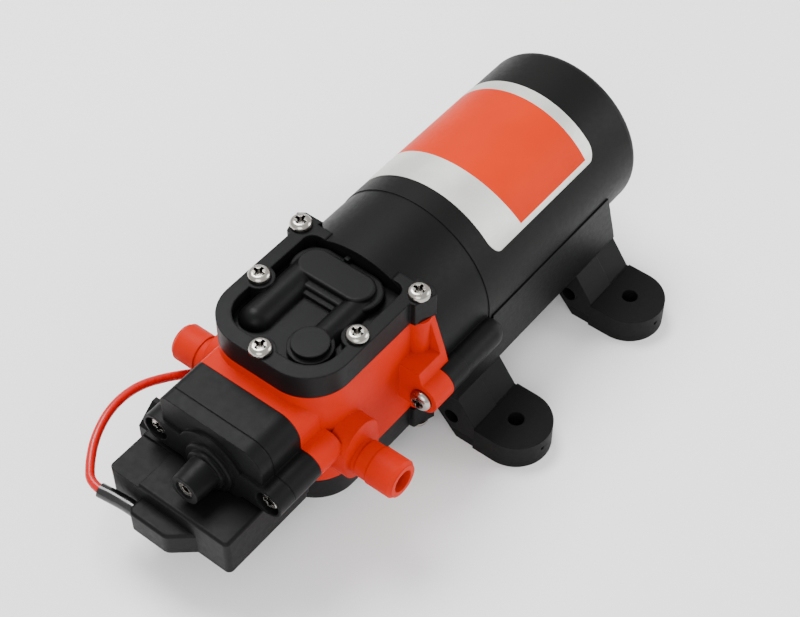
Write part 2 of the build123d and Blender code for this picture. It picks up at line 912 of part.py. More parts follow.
commutator_x = core_end_x + commutator_gap
commutator_end_x = commutator_x + commutator_length
with BuildPart() as commutator:
    with BuildSketch(Plane.YZ.offset(commutator_x)):
        with Locations((0, axis_height)):
            Circle(commutator_radius)
            Circle(commutator_bore, mode=Mode.SUBTRACT)
        for pole in range(pole_count):
            with Locations(Location((0, axis_height), pole * pole_step)):
                with Locations((commutator_radius, 0)):
                    Rectangle(commutator_radius, commutator_slit, mode=Mode.SUBTRACT)
    extrude(amount=commutator_length)
keep(commutator, "commutator")

with BuildPart() as commutator_hub:
    rod_x(commutator_bore, commutator_x, commutator_end_x)
    rod_x(shaft_radius, commutator_x, commutator_end_x, mode=Mode.SUBTRACT)
keep(commutator_hub, "commutator_hub")

# The shaft steps down where it enters the eccentric
pin_front_x = chamber_x - bearing_width / 2
pin_back_x = chamber_x + bearing_width / 2
weight_x = pin_back_x + pin_shoulder
hub_x = weight_x + weight_thickness
hub_end_x = hub_x + hub_length
with BuildPart() as motor_shaft:
    rod_x(shaft_radius, hub_end_x, can_rear_x - can_wall - face_gap)
    rod_x(shaft_tip_radius, drive_face_x - shaft_tip_reach, hub_end_x)
keep(motor_shaft, "motor_shaft")

# Plain bearings of the shaft
with BuildPart() as shaft_bearings:
    for start in bush_front_x, rear_bush_x:
        rod_x(bush_radius, start, start + bush_length)
        rod_x(shaft_radius + running_gap, start, start + bush_length, mode=Mode.SUBTRACT)
keep(shaft_bearings, "shaft_bearings")

# Brush plate with its two boxes, the brushes and their springs
brush_x = (commutator_x + commutator_end_x) / 2
plate_x = commutator_end_x + brush_plate_gap
brush_start = commutator_radius
brush_end = brush_start + brush_length
box_end = brush_start + brush_travel + holder_length
box_start = brush_start + brush_travel
box_half = brush_size / 2 + face_gap + holder_wall
with BuildPart() as brush_holder:
    rod_x(can_inner - face_gap, plate_x, plate_x + brush_plate_thickness)
    for side in (1, -1):
        block(
            (brush_x - box_half, -box_half, axis_height + min(side * box_start, side * box_end)),
            (plate_x, box_half, axis_height + max(side * box_start, side * box_end)),
        )
        inner_end = box_end - holder_wall
        slot_half = brush_size / 2 + face_gap
        block(
            (brush_x - slot_half, -slot_half, axis_height + min(0, side * inner_end)),
            (brush_x + slot_half, slot_half, axis_height + max(0, side * inner_end)),
            mode=Mode.SUBTRACT,
        )
    rod_x(box_start, plate_x, plate_x + brush_plate_thickness, mode=Mode.SUBTRACT)
keep(brush_holder, "brush_holder")

for side, label in (1, "brush_upper"), (-1, "brush_lower"):
    with BuildPart() as brush:
        block(
            (
                brush_x - brush_size / 2,
                -brush_size / 2,
                axis_height + min(side * brush_start / 2, side * brush_end),
            ),
            (
                brush_x + brush_size / 2,
                brush_size / 2,
                axis_height + max(side * brush_start / 2, side * brush_end),
            ),
        )
        rod_x(
            commutator_radius + face_gap,
            commutator_x,
            commutator_end_x,
            mode=Mode.SUBTRACT,
        )
    keep(brush, label)
for side, label in (1, "brush_spring_upper"), (-1, "brush_spring_lower"):
    with BuildPart() as spring:
        spring_ends = sorted((side * brush_end, side * (box_end - holder_wall)))
        low, high = (axis_height + end for end in spring_ends)
        post_z(brush_size / 2 - face_gap, low, high, brush_x, 0)
        post_z(brush_size / 2 - face_gap - spring_wall, low, high, brush_x, 0, mode=Mode.SUBTRACT)
    keep(spring, label)

# Base: two side rails under the motor, four legs, and two straps below the sleeve
base_front_x = drive_face_x + base_front_setback
base_rear_x = base_front_x + base_length
rail_low = axis_height - base_rail_drop
rail_top = axis_height - base_rail_top_drop
cradle_radius = motor_radius + face_gap
leg_xs = (-hole_pitch_x / 2, hole_pitch_x / 2)
tongue_low = foot_sole + face_gap
with BuildPart() as motor_base:
    for side in (1, -1):
        prism_x(
            [
                (side * base_rail_in_y, rail_low),
                (side * base_half_width, rail_low),
                (side * base_rail_top_y, rail_top),
                (side * leg_in_y, rail_top),
            ],
            base_front_x,
            base_rear_x,
        )
        rail_ys = sorted((side * base_rail_in_y, side * (base_half_width + cut_over)))
        prism_y(
            [
                (base_rear_x - base_rail_rake, rail_top + cut_over),
                (base_rear_x + cut_over, rail_top + cut_over),
                (base_rear_x + cut_over, rail_low),
                (base_rear_x, rail_low),
            ],
            *rail_ys,
            mode=Mode.SUBTRACT,
        )
        for leg_x in leg_xs:
            prism_x(
                [
                    (side * base_half_width, rail_low),
                    (side * leg_out_y, foot_thickness),
                    (side * leg_out_y, foot_sole),
                    (side * leg_foot_in_y, foot_sole),
                    (side * leg_in_y, leg_in_height),
                    (side * (strap_half_width + face_gap), rail_low - strap_thickness),
                    (side * base_rail_in_y, rail_low + strap_thickness),
                ],
                leg_x - leg_length / 2,
                leg_x + leg_length / 2,
            )
            step_x = leg_x + leg_length / 2 - leg_step_length
            prism_x(
                [
                    (side * base_half_width, rail_low),
                    (side * leg_out_y, foot_thickness),
                    (side * (leg_out_y - leg_step_depth), foot_thickness),
                    (side * (base_half_width - leg_step_depth), rail_low),
                ],
                step_x,
                leg_x + leg_length / 2,
                mode=Mode.SUBTRACT,
            )
            tongue_ys = sorted((side * (leg_out_y - cut_over), side * (leg_out_y + tongue_reach)))
            block(
                (leg_x - tongue_width / 2, tongue_ys[0], tongue_low),
                (leg_x + tongue_width / 2, tongue_ys[1], tongue_low + tongue_thickness),
            )
    rod_x(cradle_radius, base_front_x, base_rear_x, mode=Mode.SUBTRACT)
    for leg_x in leg_xs:
        with BuildSketch(Plane.YZ.offset(leg_x - leg_length / 2)) as strap:
            with Locations((0, axis_height)):
                Circle(cradle_radius + strap_thickness)
                Circle(cradle_radius, mode=Mode.SUBTRACT)
            with Locations((0, axis_height - motor_radius)):
                Rectangle(2 * strap_half_width, strap_half_width, mode=Mode.INTERSECT)
        extrude(strap.sketch, amount=leg_length)
    for side in (1, -1):
        notch_radius = boss_radius + screw_gap
        notch_end_x = bell_rear_x + boss_over + screw_gap
        rod_x(notch_radius, base_front_x, notch_end_x, y=side * lug_y, z=lug_z, mode=Mode.SUBTRACT)
        notch_ys = sorted((side * (lug_y - notch_radius), side * (lug_y + notch_radius)))
        block(
            (base_front_x, notch_ys[0], lug_z),
            (notch_end_x, notch_ys[1], axis_height),
            mode=Mode.SUBTRACT,
        )
        for leg_x in leg_xs:
            leg_face_x = leg_x - leg_length / 2
            rod_x(
                leg_hole_radius,
                leg_face_x - cut_over,
                leg_face_x + leg_hole_depth,
                y=side * leg_hole_y,
                z=leg_hole_height,
                mode=Mode.SUBTRACT,
            )
keep(motor_base, "motor_base")

# Rubber feet, one under each leg
for leg_x, end in zip(leg_xs, ("front", "rear")):
    for side, hand in (1, "left"), (-1, "right"):
        foot_y = side * hole_pitch_y / 2
        with BuildPart() as foot:
            pad_ys = sorted((side * (leg_out_y + face_gap), foot_y))
            block(
                (leg_x - foot_radius, pad_ys[0], 0), (leg_x + foot_radius, pad_ys[1], foot_thickness)
            )
            post_z(foot_radius, 0, foot_thickness, leg_x, foot_y)
            under_ys = sorted((0, side * (leg_out_y + face_gap)))
            block(
                (leg_x - foot_radius, under_ys[0], foot_sole),
                (leg_x + foot_radius, under_ys[1], foot_thickness),
                mode=Mode.SUBTRACT,
            )
            prism_x(
                [
                    (side * leg_foot_in_y, foot_sole),
                    (side * foot_in_y, 0),
                    (side * (leg_out_y + cut_over), 0),
                    (side * (leg_out_y + cut_over), foot_sole),
                ],
                leg_x - leg_length / 2,
                leg_x + leg_length / 2,
            )
            slot_half = tongue_width / 2 + face_gap
            slot_ys = sorted((side * leg_out_y, side * (leg_out_y + tongue_reach + face_gap)))
            block(
                (leg_x - slot_half, slot_ys[0], foot_sole),
                (leg_x + slot_half, slot_ys[1], tongue_low + tongue_thickness + face_gap),
                mode=Mode.SUBTRACT,
            )
            post_z(foot_hole_radius, 0, foot_thickness, leg_x, foot_y, mode=Mode.SUBTRACT)
            mark_end = foot_y + side * foot_radius
            rod_y(
                foot_mark_radius,
                mark_end - side * cut_over,
                mark_end + side * cut_over,
                leg_x - foot_mark_offset,
                foot_mark_height,
                mode=Mode.SUBTRACT,
            )
        keep(foot, f"foot_{end}_{hand}")

# Pumping parts, built for the upper chamber and mirrored for the lower one
disc_low = body_top - pocket_depth
disc_high = disc_low + diaphragm_thickness
room_top = disc_high + pump_room_depth
plate_radius = pocket_radius - face_gap
piston_top = disc_high + piston_thickness


def mirrored_pair(piece, label):
    """Write a piece of the upper chamber, then its mirror image for the lower chamber."""
    keep(piece, f"{label}_upper")
    with BuildPart() as lower:
        mirror(piece.part, about=head_mirror)
    keep(lower, f"{label}_lower")


with BuildPart() as diaphragm:
    post_z(plate_radius, disc_low, disc_high, chamber_x, 0)
    post_z(piston_screw_radius + running_gap, disc_low, disc_high, chamber_x, 0, mode=Mode.SUBTRACT)
mirrored_pair(diaphragm, "diaphragm")

with BuildPart() as piston:
    post_z(piston_radius, disc_high, piston_top, chamber_x, 0)
    post_z(
        piston_screw_radius + running_gap, disc_high, piston_top, chamber_x, 0, mode=Mode.SUBTRACT
    )
mirrored_pair(piston, "piston")

with BuildPart() as piston_screw:
    with Locations((chamber_x, 0, piston_top)):
        add(
            cross_screw(
                piston_screw_radius,
                piston_screw_length,
                piston_screw_head,
                piston_screw_head_height,
            )
        )
    mirror(about=head_mirror)
keep(piston_screw, "piston_screws")

with BuildPart() as valve_plate:
    post_z(plate_radius, disc_high, body_top, chamber_x, 0)
    post_z(pump_room_radius, disc_high, room_top, chamber_x, 0, mode=Mode.SUBTRACT)
    with BuildSketch(Plane.XY.offset(body_top - seal_thickness)) as groove:
        with Locations((chamber_x, 0)):
            Circle(seal_outer)
            Circle(seal_inner, mode=Mode.SUBTRACT)
    extrude(groove.sketch, amount=seal_thickness, mode=Mode.SUBTRACT)
    for side in (1, -1):
        valve_at = (chamber_x, side * valve_y)
        post_z(valve_stem_radius + running_gap, room_top, body_top, *valve_at, mode=Mode.SUBTRACT)
        for hole in range(valve_hole_count):
            turn = 2 * pi * hole / valve_hole_count
            hole_x = chamber_x + valve_hole_circle * cos(turn)
            hole_y = side * valve_y + valve_hole_circle * sin(turn)
            post_z(valve_hole_radius, room_top, body_top, hole_x, hole_y, mode=Mode.SUBTRACT)
mirrored_pair(valve_plate, "valve_plate")

with BuildPart() as seal:
    with BuildSketch(Plane.XY.offset(body_top - seal_thickness)):
        with Locations((chamber_x, 0)):
            Circle(seal_outer)
            Circle(seal_inner, mode=Mode.SUBTRACT)
    extrude(amount=seal_thickness)
    mirror(about=head_mirror)
keep(seal, "seals")

# Umbrella valves: the inlet pair opens into the pump rooms, the outlet pair opens into the covers
knob_radius = valve_stem_radius + valve_hole_radius / 2
for side, label in (1, "inlet_valves"), (-1, "outlet_valves"):
    with BuildPart() as valves:
        flap_low = room_top - valve_thickness if side > 0 else body_top
        knob_low = body_top if side > 0 else room_top - valve_thickness
        valve_at = (chamber_x, side * valve_y)
        post_z(valve_radius, flap_low, flap_low + valve_thickness, *valve_at)
        post_z(valve_stem_radius, room_top, body_top, *valve_at)
        post_z(knob_radius, knob_low, knob_low + valve_thickness, *valve_at)
        mirror(about=head_mirror)
    keep(valves, label)

# Yoke: lifts and lowers both diaphragms as the bearing runs round in its window
yoke_low = 2 * head_mid - disc_low
with BuildPart() as yoke:
    block(
        (chamber_x - yoke_thickness / 2, -yoke_half_width, yoke_low + yoke_pad_thickness),
        (chamber_x + yoke_thickness / 2, yoke_half_width, disc_low - yoke_pad_thickness),
    )
    for low in yoke_low, disc_low - yoke_pad_thickness:
        post_z(yoke_pad_radius, low, low + yoke_pad_thickness, chamber_x, 0)
    rod_x(
        yoke_hole_radius,
        chamber_x - yoke_thickness,
        chamber_x + yoke_thickness,
        mode=Mode.SUBTRACT,
    )
    screw_depth = piston_screw_length - piston_thickness - diaphragm_thickness
    for low in yoke_low, disc_low - screw_depth:
        post_z(
            piston_screw_radius, low, low + screw_depth, chamber_x, 0, mode=Mode.SUBTRACT
        )
keep(yoke, "yoke")

# Eccentric with its counterweight, and the ball bearing it carries
pin_z = axis_height + stroke
groove_radius = (bearing_bore + bearing_outer) / 2
with BuildPart() as eccentric:
    rod_x(bearing_bore, pin_front_x, pin_back_x, z=pin_z)
    rod_x(bearing_bore + bearing_land, pin_back_x, weight_x, z=pin_z)
    with BuildSketch(Plane.YZ.offset(weight_x)) as weight:
        with Locations((0, axis_height)):
            Circle(weight_radius)
        with Locations((0, axis_height + weight_radius)):
            Rectangle(2 * weight_radius, 2 * weight_radius - hub_radius, mode=Mode.SUBTRACT)
        with Locations((0, axis_height)):
            Circle(hub_radius)
    extrude(weight.sketch, amount=weight_thickness)
    rod_x(hub_radius, weight_x, hub_end_x)
    rod_x(shaft_tip_radius, pin_front_x, hub_end_x, mode=Mode.SUBTRACT)
    set_screw_x = (hub_x + hub_end_x) / 2
    post_z(
        set_screw_radius, axis_height, axis_height + hub_radius, set_screw_x, 0, mode=Mode.SUBTRACT
    )
keep(eccentric, "eccentric")

with BuildPart() as set_screw:
    set_screw_top = axis_height + sqrt(hub_radius ** 2 - set_screw_radius ** 2)
    post_z(set_screw_radius, axis_height + shaft_tip_radius, set_screw_top, set_screw_x, 0)
    with Locations((set_screw_x, 0, set_screw_top)):
        Box(2 * set_screw_radius, set_screw_radius / 2, set_screw_radius, mode=Mode.SUBTRACT)
keep(set_screw, "set_screw")

groove = ball_radius + ball_gap
with BuildPart() as bearing_inner:
    rod_x(bearing_bore + bearing_land, pin_front_x, pin_back_x, z=pin_z)
    rod_x(bearing_bore, pin_front_x, pin_back_x, z=pin_z, mode=Mode.SUBTRACT)
    with Locations(Plane((chamber_x, 0, pin_z), z_dir=(1, 0, 0))):
        Torus(groove_radius, groove, mode=Mode.SUBTRACT)
keep(bearing_inner, "bearing_inner")
with BuildPart() as bearing_ring:
    rod_x(bearing_outer, pin_front_x, pin_back_x, z=pin_z)
    rod_x(bearing_outer - bearing_land, pin_front_x, pin_back_x, z=pin_z, mode=Mode.SUBTRACT)
    with Locations(Plane((chamber_x, 0, pin_z), z_dir=(1, 0, 0))):
        Torus(groove_radius, groove, mode=Mode.SUBTRACT)
keep(bearing_ring, "bearing_ring")
with BuildPart() as bearing_balls:
    for ball in range(ball_count):
        turn = 2 * pi * ball / ball_count
        ball_y = groove_radius * cos(turn)
        ball_z = pin_z + groove_radius * sin(turn)
        with Locations((chamber_x, ball_y, ball_z)):
            Sphere(ball_radius)
keep(bearing_balls, "bearing_balls")

# Pressure switch, rear layer: brings water pressure from the head to the switch diaphragm
gallery_turn_x = flange_x - plunger_radius / 2
with BuildPart() as switch_body:
    switch_outline(flange_x, switch_body_length - switch_seam, box_top)
    switch_outline(switch_front_x + switch_seam, switch_seam, box_top, inset=switch_seam)
    rod_x(switch_lobe_radius, switch_front_x, flange_x, z=head_mid)
    rod_x(
        switch_screw_radius,
        gallery_turn_x - switch_screw_radius,
        flange_x,
        y=gallery_y,
        z=head_mid,
        mode=Mode.SUBTRACT,
    )
    rod_y(switch_screw_radius, gallery_y, 0, gallery_turn_x, head_mid, mode=Mode.SUBTRACT)
    rod_x(switch_screw_radius, switch_front_x, gallery_turn_x, z=head_mid, mode=Mode.SUBTRACT)
    rod_x(
        plunger_radius,
        switch_front_x,
        switch_front_x + switch_diaphragm_thickness,
        z=head_mid,
        mode=Mode.SUBTRACT,
    )
    for side in (1, -1):
        rod_x(
            switch_screw_radius + screw_gap,
            switch_front_x,
            flange_x,
            y=side * ear_y,
            z=head_mid,
            mode=Mode.SUBTRACT,
        )
keep(switch_body, "switch_body")

# Pressure switch, front layer: guides the plunger and carries the adjusting screw
boss_step_x = adjuster_x - face_gap
adjuster_tip_x = boss_tip_x + adjuster_recess
with BuildPart() as switch_cap:
    switch_outline(switch_front_x, switch_cap_length - cap_plate_step, box_top)
    switch_ears(switch_front_x, switch_cap_length)
    rod_x(switch_lobe_radius, cap_front_x, switch_front_x, z=head_mid)
    with BuildPart() as ring:
        rod_x(switch_ring_radius, cap_front_x - switch_ring_length, cap_front_x, z=head_mid)
        fillet(ring.faces().sort_by(Axis.X)[0].edges(), switch_ring_edge)
        rod_x(switch_step_radius, cap_front_x - switch_step_length, cap_front_x, z=head_mid)
        fillet(ring.faces().sort_by(Axis.X)[0].edges(), switch_ring_edge)
        with Locations(Plane((cap_front_x, 0, head_mid), z_dir=(-1, 0, 0))):
            Cone(
                adjuster_boss_root,
                adjuster_boss_radius,
                adjuster_boss_length,
                align=(Align.CENTER, Align.CENTER, Align.MIN),
            )
    rod_x(
        switch_diaphragm_radius + face_gap,
        diaphragm_x,
        switch_front_x,
        z=head_mid,
        mode=Mode.SUBTRACT,
    )
    room_radius = plunger_radius + 6 * face_gap
    rod_x(room_radius, plunger_room_x, diaphragm_x, z=head_mid, mode=Mode.SUBTRACT)
    rod_x(spring_bore_radius, boss_step_x, plunger_room_x, z=head_mid, mode=Mode.SUBTRACT)
    rod_x(adjuster_radius + screw_gap, boss_tip_x, boss_step_x, z=head_mid, mode=Mode.SUBTRACT)
    rod_x(adjuster_mouth_radius, boss_tip_x, adjuster_tip_x, z=head_mid, mode=Mode.SUBTRACT)
    arm_slot = arm_half_width + 6 * face_gap
    block(
        (plunger_room_x, -arm_slot, head_mid - switch_lobe_radius - cut_over),
        (diaphragm_x, arm_slot, head_mid),
        mode=Mode.SUBTRACT,
    )
    for side in (1, -1):
        rod_x(
            switch_screw_radius + screw_gap,
            cap_front_x,
            switch_front_x,
            y=side * ear_y,
            z=head_mid,
            mode=Mode.SUBTRACT,
        )
        rod_x(
            sink_radius,
            cap_front_x,
            cap_front_x + switch_sink,
            y=side * ear_y,
            z=head_mid,
            mode=Mode.SUBTRACT,
        )
keep(switch_cap, "switch_cap")

with BuildPart() as switch_screws:
    for side in (1, -1):
        with Locations(Plane((cap_front_x + switch_sink, side * ear_y, head_mid), z_dir=(-1, 0, 0))):
            add(
                cross_screw(
                    switch_screw_radius, switch_screw_length, switch_head_radius, switch_head_height
                )
            )
keep(switch_screws, "switch_screws")

with BuildPart() as switch_diaphragm:
    rod_x(switch_diaphragm_radius, diaphragm_x, switch_front_x, z=head_mid)
keep(switch_diaphragm, "switch_diaphragm")

# Plunger with the arm that reaches down to the micro switch
with BuildPart() as switch_plunger:
    rod_x(plunger_radius, plunger_front_x, plunger_back_x, z=head_mid)
    block(
        (plunger_front_x, -arm_half_width, arm_foot_z),
        (plunger_back_x, arm_half_width, head_mid),
    )
    rod_x(
        plunger_stem_radius, plunger_front_x - plunger_stem_length, plunger_front_x, z=head_mid
    )
keep(switch_plunger, "switch_plunger")

with BuildPart() as switch_spring:
    rod_x(spring_radius, seat_back_x, plunger_front_x, z=head_mid)
    rod_x(
        spring_radius - spring_wall,
        seat_back_x,
        plunger_front_x,
        z=head_mid,
        mode=Mode.SUBTRACT,
    )
keep(switch_spring, "switch_spring")

with BuildPart() as spring_seat:
    rod_x(spring_radius, seat_x, seat_back_x, z=head_mid)
    rod_x(plunger_stem_radius, seat_back_x, seat_back_x + seat_stem_length, z=head_mid)
keep(spring_seat, "spring_seat")

with BuildPart() as adjusting_screw:
    rod_x(adjuster_radius, adjuster_tip_x, adjuster_x, z=head_mid)
    with BuildSketch(Plane.YZ.offset(adjuster_tip_x)) as socket:
        with Locations((0, head_mid)):
            RegularPolygon(hex_across / 2, 6, major_radius=False)
    extrude(socket.sketch, amount=hex_depth, mode=Mode.SUBTRACT)
keep(adjusting_screw, "adjusting_screw")

# Micro switch under the pressure switch, pressed by the plunger arm
micro_rear_x = cap_front_x - 6 * face_gap
micro_front_x = micro_rear_x - micro_depth
micro_low = box_bottom + lid_thickness + micro_hole_radius / 3
micro_high = micro_low + micro_width
micro_mid = (micro_low + micro_high) / 2
pin_x = micro_front_x + micro_hole_inset
pin_ys = (micro_y - micro_hole_pitch / 2, micro_y + micro_hole_pitch / 2)
button_front_x = micro_rear_x - button_inset
button_room = button_radius + running_gap
with BuildPart() as micro_switch:
    block(
        (micro_front_x, micro_y - micro_length / 2, micro_low),
        (micro_rear_x, micro_y + micro_length / 2, micro_high),
    )
    for pin_y in pin_ys:
        post_z(micro_hole_radius, micro_low, micro_high, pin_x, pin_y, mode=Mode.SUBTRACT)
    bore_end_x = button_front_x - plunger_travel - button_over_travel
    rod_x(button_room, bore_end_x, micro_rear_x, z=micro_mid, mode=Mode.SUBTRACT)
keep(micro_switch, "micro_switch")

with BuildPart() as micro_switch_button:
    rod_x(button_radius, button_front_x, plunger_front_x - button_gap, z=micro_mid)
keep(micro_switch_button, "micro_switch_button")

blade_low = micro_low + micro_width / 4
with BuildPart() as switch_terminals:
    for blade_mid in (blade_y, blade_y + blade_pitch):
        block(
            (micro_front_x - blade_length, blade_mid - blade_width / 2, blade_low),
            (micro_front_x, blade_mid + blade_width / 2, blade_low + blade_thickness),
        )
keep(switch_terminals, "switch_terminals")

# Housing of the micro switch, open below and closed by a lid
lid_top = box_bottom + lid_thickness
box_low = (box_front_x, box_right_y, lid_top)
box_high = (box_rear_x, box_left_y, box_top)
bump_outline = [
    (box_front_x + box_wall, bump_root_y),
    (box_front_x, bump_root_y),
    (bump_front_x, bump_right_y),
    (bump_front_x, bump_left_y - bump_corner),
    (bump_front_x + bump_corner, bump_left_y),
    (box_front_x + box_wall, bump_left_y),
]
bump_room = [
    (box_front_x + box_wall + face_gap, bump_root_y + box_wall),
    (box_front_x + box_wall / 2, bump_root_y + box_wall),
    (bump_front_x + box_wall, bump_right_y + box_wall / 2),
    (bump_front_x + box_wall, bump_left_y - bump_corner - box_wall / 2),
    (bump_front_x + bump_corner + box_wall / 2, bump_left_y - box_wall),
    (box_front_x + box_wall + face_gap, bump_left_y - box_wall),
]
lead_hole_x = bump_front_x + lead_wall_inset


def round_front(piece):
    """Rounds the two upright front corners of the bump, or of the lid's tongue below it."""
    fillet(piece.edges().filter_by(Axis.Z).group_by(Axis.X)[0].sort_by(Axis.Y)[-1], bump_round)
    fillet(piece.edges().filter_by(Axis.Z).group_by(Axis.X)[0].sort_by(Axis.Y)[0], bump_right_round)


with BuildPart() as switch_box:
    block(box_low, box_high)
    fillet(switch_box.edges().filter_by(Axis.Z), box_edge)
    fillet(switch_box.faces().sort_by(Axis.Z)[-1].edges(), box_top_edge)
    with BuildPart() as bump:
        prism_z(bump_outline, lid_top, bump_top)
        round_front(bump)
        fillet(bump.faces().sort_by(Axis.Z)[-1].edges(), box_top_edge)
    lug_rear_x = box_rear_x - side_lug_setback
    lug_front_x = lug_rear_x - side_lug_length
    prism_y(
        [
            (lug_front_x, bump_top - box_edge),
            (lug_front_x, box_top - box_edge),
            (lug_rear_x - box_edge, box_top + side_lug_rise),
            (lug_rear_x, box_top + side_lug_rise),
            (lug_rear_x, bump_top - box_edge),
        ],
        ear_y + ear_radius + side_lug_gap,
        box_left_y + side_lug_reach,
    )
    ledge_top = head_mid - switch_top_rise - box_ledge_gap
    block(
        (box_rear_x - box_wall, box_right_y, lid_top),
        (box_rear_x + box_ledge_length, box_left_y, ledge_top),
    )
    block(
        (box_front_x + box_wall, box_right_y + box_wall, lid_top),
        (box_rear_x - box_wall, box_left_y - box_wall, box_top - box_wall),
        mode=Mode.SUBTRACT,
    )
    prism_z(bump_room, lid_top, bump_top - box_wall, mode=Mode.SUBTRACT)
    step_low = box_top - box_step_drop
    block(
        (box_front_x + box_wall / 2, box_step_y - box_wall, step_low - box_wall),
        (cap_front_x, box_left_y - box_wall / 2, step_low),
    )
    block(
        (box_front_x - cut_over, box_step_y, step_low),
        (cap_front_x, box_left_y + cut_over, box_top + cut_over),
        mode=Mode.SUBTRACT,
    )
    ring_room_x = cap_front_x - switch_ring_length - face_gap
    rod_x(switch_ring_radius + face_gap, ring_room_x, cap_front_x, z=head_mid, mode=Mode.SUBTRACT)
    lobe_room = switch_lobe_radius + face_gap
    rod_x(lobe_room, cap_front_x - face_gap, flange_x, z=head_mid, mode=Mode.SUBTRACT)
    rod_y(
        lead_sleeve_radius + running_gap,
        bump_left_y - box_wall - cut_over,
        bump_left_y + cut_over,
        lead_hole_x,
        lead_start_z,
        mode=Mode.SUBTRACT,
    )
    for pin_y in pin_ys:
        post_z(
            micro_hole_radius - running_gap, micro_low, box_top - box_wall, pin_x, pin_y
        )
        post_z(micro_hole_radius + box_wall / 2, micro_high, box_top - box_wall, pin_x, pin_y)
keep(switch_box, "switch_box")

with BuildPart() as switch_box_lid:
    lid_rear_x = box_rear_x + box_ledge_length
    block((box_front_x, box_right_y, box_bottom), (lid_rear_x, box_left_y, lid_top))
    fillet(switch_box_lid.edges().filter_by(Axis.Z), box_edge)
    with BuildPart() as tongue:
        prism_z(bump_outline, box_bottom, lid_top)
        round_front(tongue)
keep(switch_box_lid, "switch_box_lid")

# Red lead: one round wire from the terminal to the drive housing
lead_points = [
    (lead_hole_x, blade_y + blade_pitch + blade_width / 2 + face_gap, lead_start_z),
    (lead_hole_x, 16.5, lead_start_z),
    (-117.9, 27.0, 21.5),
    (-113.9, 31.0, 22.8),
    (-107.5, 35.2, 24.0),
    (-98.5, 38.4, 24.2),
    (-89.0, 38.6, 23.2),
    (-80.5, 35.5, 21.0),
    (-72.5, 30.5, 19.0),
    (-63.5, 26.5, 19.0),
    (-54.5, 25.6, 21.2),
    (-47.5, lead_boss_y, lead_boss_z),
    (drive_face_x + lead_entry, lead_boss_y, lead_boss_z),
]


def bend_radii(points):
    """The widest round for each corner of a run of points that still leaves room for its neighbours."""
    radii = []
    for before, corner, after in zip(points, points[1:], points[2:]):
        arrive = Vector(*corner) - Vector(*before)
        leave = Vector(*after) - Vector(*corner)
        half_turn = radians(arrive.get_angle(leave)) / 2
        radii.append(bend_share * min(arrive.length, leave.length) / tan(half_turn))
    return radii


lead_radii = bend_radii(lead_points)
with BuildPart() as red_lead:
    with BuildLine() as lead_route:
        FilletPolyline(*lead_points, radius=lead_radii)
    with BuildSketch(Plane(lead_route.line @ 0, z_dir=lead_route.line % 0)):
        Circle(lead_radius)
    sweep()
keep(red_lead, "red_lead")
print("lead bend radii", [round(radius, 1) for radius in lead_radii])
swept = pi * lead_radius ** 2 * lead_route.wires()[0].length
print("lead volume", round(red_lead.part.volume, 2), "section times length", round(swept, 2))

# Heat-shrink sleeve over the start of the lead: the same route, stopped part way along one run
sleeve_from = Vector(lead_hole_x, bump_left_y - box_wall, lead_start_z)
sleeve_run = Vector(*lead_points[2]) - Vector(*lead_points[1])
sleeve_to = Vector(*lead_points[1]) + sleeve_run * lead_sleeve_share
with BuildPart() as lead_sleeve:
    with BuildLine() as sleeve_route:
        FilletPolyline(sleeve_from, lead_points[1], sleeve_to, radius=lead_radii[0])
    with BuildSketch(Plane(sleeve_route.line @ 0, z_dir=sleeve_route.line % 0)):
        Circle(lead_sleeve_radius)
        Circle(lead_radius, mode=Mode.SUBTRACT)
    sweep()
keep(lead_sleeve, "lead_sleeve")

# Rubber grommet where the lead enters the drive housing
with BuildPart() as lead_grommet:
    rod_x(
        grommet_radius, drive_face_x, grommet_end_x - face_gap, y=lead_boss_y, z=lead_boss_z
    )
    rod_x(
        grommet_collar,
        drive_face_x - grommet_collar_length,
        drive_face_x,
        y=lead_boss_y,
        z=lead_boss_z,
    )
    rod_x(
        lead_radius,
        drive_face_x - grommet_collar_length,
        grommet_end_x,
        y=lead_boss_y,
        z=lead_boss_z,
        mode=Mode.SUBTRACT,
    )
keep(lead_grommet, "lead_grommet")
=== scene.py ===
import math

import bpy
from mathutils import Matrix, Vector


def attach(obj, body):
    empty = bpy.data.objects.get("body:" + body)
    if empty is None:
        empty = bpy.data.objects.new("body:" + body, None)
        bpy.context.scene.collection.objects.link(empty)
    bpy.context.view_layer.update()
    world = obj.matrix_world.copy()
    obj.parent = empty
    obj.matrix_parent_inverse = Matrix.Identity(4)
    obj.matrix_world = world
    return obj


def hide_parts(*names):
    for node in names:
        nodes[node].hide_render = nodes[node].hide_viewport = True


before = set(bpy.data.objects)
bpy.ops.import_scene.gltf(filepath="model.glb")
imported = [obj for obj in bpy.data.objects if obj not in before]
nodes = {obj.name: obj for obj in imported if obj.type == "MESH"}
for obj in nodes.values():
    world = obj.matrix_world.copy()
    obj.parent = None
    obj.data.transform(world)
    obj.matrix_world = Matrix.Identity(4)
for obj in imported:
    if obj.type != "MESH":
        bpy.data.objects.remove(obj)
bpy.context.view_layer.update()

mm = 0.001

# Camera at the photograph's viewing angle
AZIMUTH = math.radians(-51.8795)
ELEVATION = math.radians(49.2144)
DISTANCE = 0.432754
FOCAL_PIXELS = 1701.893
FRAME_WIDTH_PIXELS = 800
SENSOR_WIDTH = 36.0
NEAR_CLIP = 0.01
TARGET = Vector((-0.0386, -0.008115, 0.0411))


